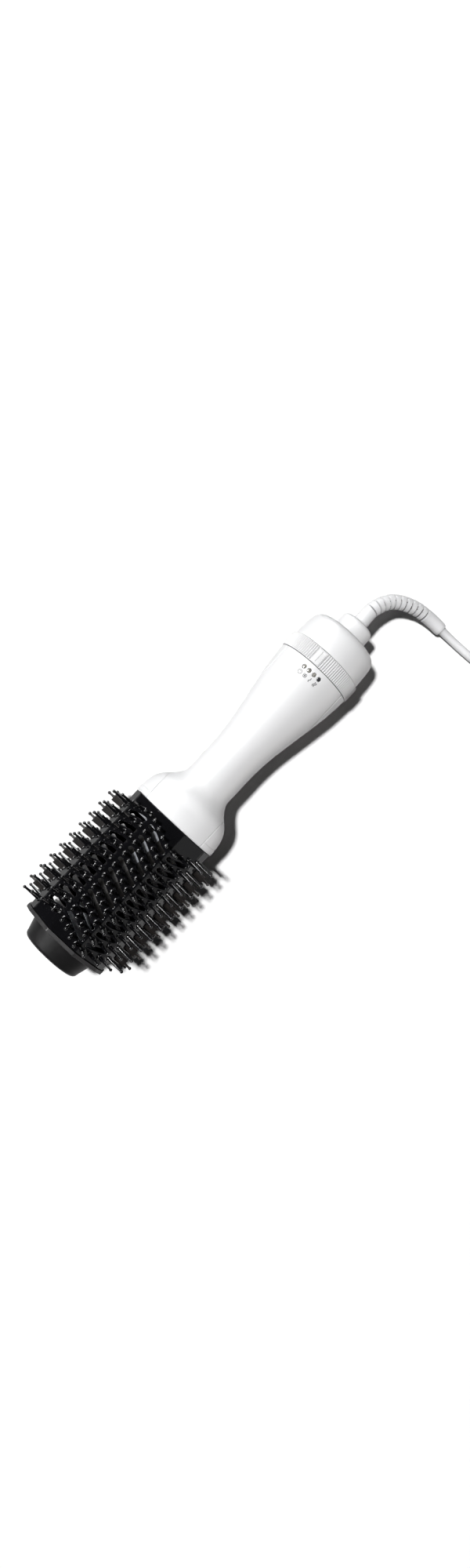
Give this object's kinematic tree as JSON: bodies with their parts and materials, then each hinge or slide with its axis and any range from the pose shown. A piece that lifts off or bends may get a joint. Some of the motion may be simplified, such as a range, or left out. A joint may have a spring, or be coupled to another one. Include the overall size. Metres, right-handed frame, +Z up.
{
  "type": "hot air brush",
  "caption": "Oval-barrel hot air brush: slotted bristle barrel, waisted round handle with a rotary switch ring, and a swivel mains cord with plug.",
  "frame": {"origin": "on the table under the middle of the brush without its cord, as it lies on its back bristles and its switch ring", "axes": "+X along the table from the nose of the barrel to the cord end, +Z up, the front face with the indicator lenses facing up; the brush's own axis falls 2.4 degrees towards +X"},
  "size_m": [0.5096, 0.222, 0.0858],
  "materials": {
    "white_shell": "smooth satin-gloss moulded shell",
    "white_ring": "ribbed satin ring",
    "gloss_black": "glossy black barrel",
    "satin_black": "satin nose parts",
    "tuft": "dark brown bristle tufts",
    "clear_lens": "small dark indicator lens",
    "inner_plastic": "heat-proof inner moulding",
    "board": "solder mask",
    "mica": "mica sheet",
    "heating_wire": "drawn resistance wire",
    "steel": "plain steel",
    "brass": "plain brass",
    "cord_white": "matt flexible vinyl"
  },
  "bodies": {
    "handle": {"barrel_front_shell": "gloss_black", "barrel_back_shell": "gloss_black", "bristle_strip_left": "tuft", "bristle_strip_right": "tuft", "nose_flange": "satin_black", "nose_cap": "satin_black", "handle_front_shell": "white_shell", "handle_back_shell": "white_shell", "handle_screw_left": "steel", "handle_screw_right": "steel", "indicator_lens_power": "clear_lens", "indicator_lens_cool": "clear_lens", "indicator_lens_low": "clear_lens", "indicator_lens_high": "clear_lens", "barrel_spigot": "inner_plastic", "ring_sleeve": "inner_plastic", "click_spring": "steel", "rotary_switch": "inner_plastic", "control_board": "board", "rear_end_cap": "white_shell", "inlet_filter": "steel", "fan_housing": "inner_plastic", "motor": "steel", "heater_sleeve": "mica", "heater_frame": "mica", "heater_coil": "heating_wire", "thermostat": "steel", "thermal_fuse": "steel", "heater_carrier": "inner_plastic", "air_deflector": "inner_plastic", "heater_lead_live": "cord_white", "heater_lead_neutral": "cord_white", "swivel_collar": "white_shell", "slip_contacts": "brass"},
    "switch_ring": {"switch_ring": "white_ring", "switch_wiper": "inner_plastic"},
    "fan_rotor": {"motor_shaft": "steel", "fan_impeller": "inner_plastic"},
    "cord_swivel": {"swivel_hub": "inner_plastic", "strain_relief": "cord_white", "cord": "cord_white", "cord_coil": "cord_white", "cord_tail": "cord_white", "plug_gland": "cord_white", "plug_body": "cord_white", "plug_blade_left": "brass", "plug_blade_right": "brass"}
  },
  "joints": [
    {"name": "switch_turn", "type": "hinge", "parent": "handle", "child": "switch_ring", "pos_m": [0.1296, 0, 0.03355], "axis": [0.9991, 0, -0.0412], "range_deg": [-6.9, 19.9]},
    {"name": "fan_spin", "type": "hinge", "parent": "handle", "child": "fan_rotor", "pos_m": [0.09753, 0, 0.03488], "axis": [0.9991, 0, -0.0412], "continuous": true},
    {"name": "cord_turn", "type": "hinge", "parent": "handle", "child": "cord_swivel", "pos_m": [0.16947, 0, 0.03191], "axis": [-0.9991, 0, 0.0412], "continuous": true}
  ]
}
